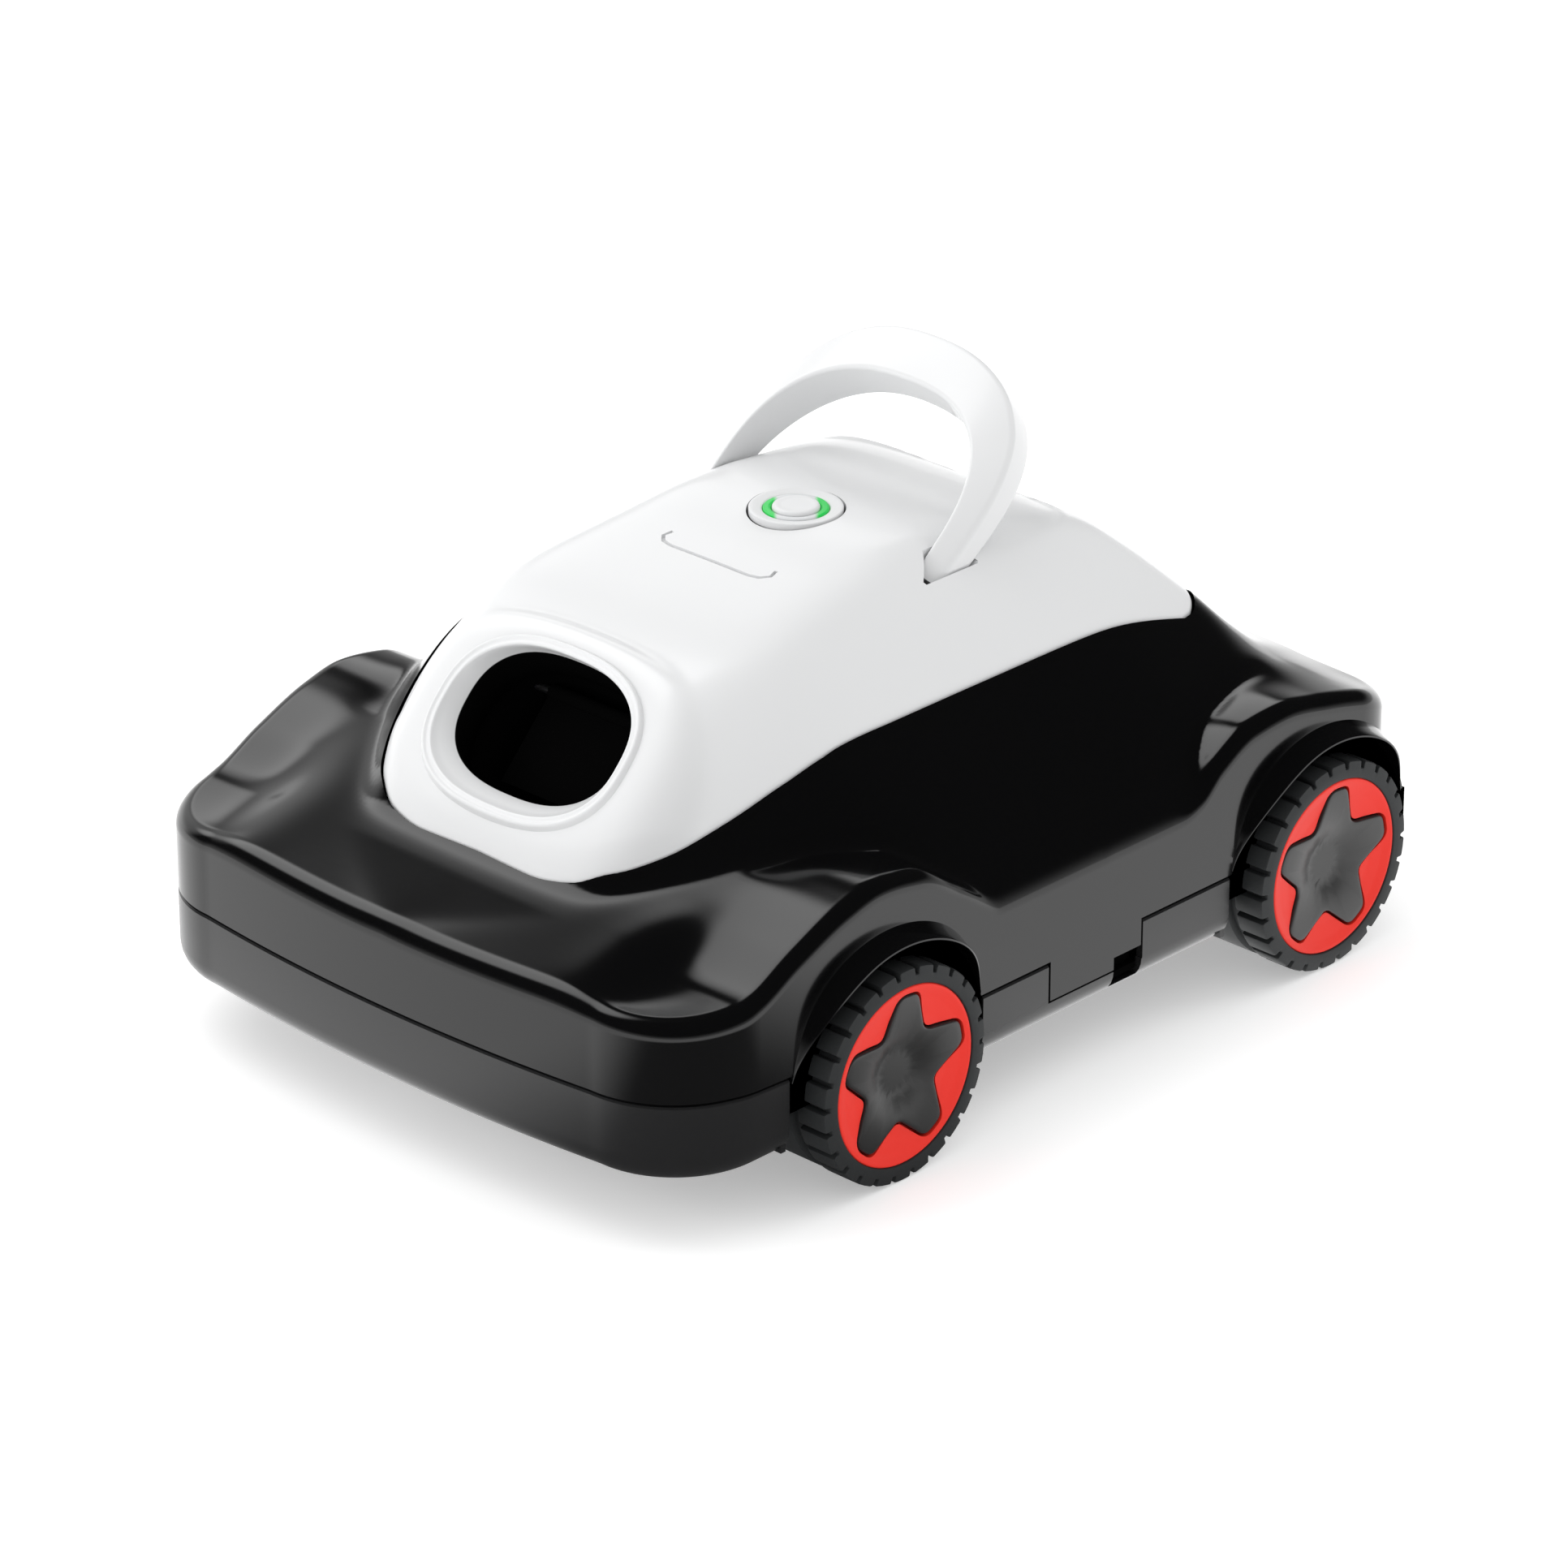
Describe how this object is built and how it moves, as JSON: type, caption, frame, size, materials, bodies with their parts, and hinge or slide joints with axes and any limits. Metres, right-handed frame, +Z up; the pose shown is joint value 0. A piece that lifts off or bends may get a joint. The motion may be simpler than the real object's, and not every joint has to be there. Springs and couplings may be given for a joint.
{
  "type": "pool cleaner",
  "caption": "Cordless robotic pool cleaner: black body on wheels, white top cover with an outlet nose and a leaning carry handle.",
  "frame": {"origin": "on the floor, under the middle of the body's box", "axes": "+Z up, the water outlet faces -Y, wheel axles along X"},
  "size_m": [0.302, 0.41, 0.2337],
  "materials": {
    "black_gloss": "gloss",
    "black_satin": "satin",
    "white_gloss": "gloss",
    "green_light": "gloss",
    "dark_plastic": "matte",
    "soft_rubber": "matte",
    "tyre_rubber": "matte",
    "red_plastic": "satin",
    "grey_plastic": "satin",
    "natural_plastic": "satin",
    "brass": "satin",
    "cell_wrap": "gloss",
    "board_green": "satin",
    "steel": "brushed"
  },
  "bodies": {
    "root": {"upper_shell": "black_gloss", "top_cover": "white_gloss", "carry_handle": "white_gloss", "handle_screws": "steel", "outlet_mouth": "white_gloss", "outlet_duct": "dark_plastic", "flap_pin": "steel", "control_panel": "white_gloss", "light_ring": "green_light", "button_spring": "steel", "dry_box": "dark_plastic", "dry_box_lid": "dark_plastic", "box_seal": "soft_rubber", "lid_screws": "steel", "battery_cells": "cell_wrap", "battery_holder": "dark_plastic", "control_board": "board_green", "pump_motor": "steel", "shaft_seal": "soft_rubber", "drive_motor": "steel", "axle_bushes": "brass", "front_axles": "steel", "chassis_frame": "dark_plastic", "base_tray": "black_satin", "intake_skirt": "soft_rubber", "inlet_pins": "steel", "filter_basket": "natural_plastic", "filter_screens": "steel", "latch_pins": "steel", "charge_socket": "steel", "shell_screws": "steel", "roller_pin": "steel"},
    "wheel_front_left": {"tyre_front_left": "tyre_rubber", "rim_front_left": "red_plastic", "star_cap_front_left": "grey_plastic"},
    "wheel_front_right": {"tyre_front_right": "tyre_rubber", "rim_front_right": "red_plastic", "star_cap_front_right": "grey_plastic"},
    "rear_drive": {"rear_axle": "steel", "axle_gear": "natural_plastic", "tyre_rear_left": "tyre_rubber", "tyre_rear_right": "tyre_rubber", "rim_rear_left": "red_plastic", "rim_rear_right": "red_plastic", "star_cap_rear_left": "grey_plastic", "star_cap_rear_right": "grey_plastic"},
    "pinion": {"motor_pinion": "brass"},
    "pump_rotor": {"pump_shaft": "steel", "impeller": "dark_plastic"},
    "button": {"power_button": "white_gloss"},
    "outlet_flap_body": {"outlet_flap": "dark_plastic"},
    "inlet_flap_front_body": {"inlet_flap_front": "soft_rubber"},
    "inlet_flap_rear_body": {"inlet_flap_rear": "soft_rubber"},
    "latch_left_body": {"latch_left": "dark_plastic"},
    "latch_right_body": {"latch_right": "dark_plastic"},
    "plug": {"port_plug": "soft_rubber"},
    "roller": {"belly_roller": "grey_plastic"}
  },
  "joints": [
    {"name": "front_left_wheel_spin", "type": "hinge", "parent": "root", "child": "wheel_front_left", "pos_m": [-0.128, -0.0917, 0.042], "axis": [1, 0, 0], "continuous": true},
    {"name": "front_right_wheel_spin", "type": "hinge", "parent": "root", "child": "wheel_front_right", "pos_m": [0.128, -0.0917, 0.042], "axis": [1, 0, 0], "continuous": true},
    {"name": "rear_axle_spin", "type": "hinge", "parent": "root", "child": "rear_drive", "pos_m": [0, 0.1453, 0.042], "axis": [1, 0, 0], "continuous": true},
    {"name": "pinion_spin", "type": "hinge", "parent": "root", "child": "pinion", "pos_m": [0.015, 0.1293, 0.054], "axis": [1, 0, 0], "continuous": true},
    {"name": "impeller_spin", "type": "hinge", "parent": "root", "child": "pump_rotor", "pos_m": [0, -0.042, 0.08], "axis": [0, 0, 1], "continuous": true},
    {"name": "button_press", "type": "slide", "parent": "root", "child": "button", "axis": [0, 0, -1], "range_m": [0, 0.0016], "stiffness_N_per_m": 600, "springref_m": -0.001, "deforming": ["button_spring"]},
    {"name": "outlet_flap_swing", "type": "hinge", "parent": "root", "child": "outlet_flap_body", "pos_m": [0, -0.09241, 0.13683], "axis": [-1, 0, 0], "range_deg": [0, 50]},
    {"name": "inlet_flap_front_lift", "type": "hinge", "parent": "root", "child": "inlet_flap_front_body", "pos_m": [0, -0.033, 0.0376], "axis": [1, 0, 0], "range_deg": [0, 60]},
    {"name": "inlet_flap_rear_lift", "type": "hinge", "parent": "root", "child": "inlet_flap_rear_body", "pos_m": [0, 0.037, 0.0376], "axis": [1, 0, 0], "range_deg": [0, 60]},
    {"name": "latch_left_pull", "type": "hinge", "parent": "root", "child": "latch_left_body", "pos_m": [-0.135, 0.037, 0.054], "axis": [0, 1, 0], "range_deg": [0, 9], "stiffness_Nm_per_rad": 0.3, "springref_deg": -5.73},
    {"name": "latch_right_pull", "type": "hinge", "parent": "root", "child": "latch_right_body", "pos_m": [0.135, 0.037, 0.054], "axis": [0, -1, 0], "range_deg": [0, 9], "stiffness_Nm_per_rad": 0.3, "springref_deg": -5.73},
    {"name": "port_plug_pull", "type": "slide", "parent": "root", "child": "plug", "axis": [0, 1, 0], "range_m": [0, 0.012]},
    {"name": "belly_roller_spin", "type": "hinge", "parent": "root", "child": "roller", "pos_m": [0, -0.179, 0.025], "axis": [1, 0, 0], "continuous": true}
  ],
  "couplings": [
    {"joint": "pinion_spin", "follows": "rear_axle_spin", "ratio": -1.2222}
  ]
}
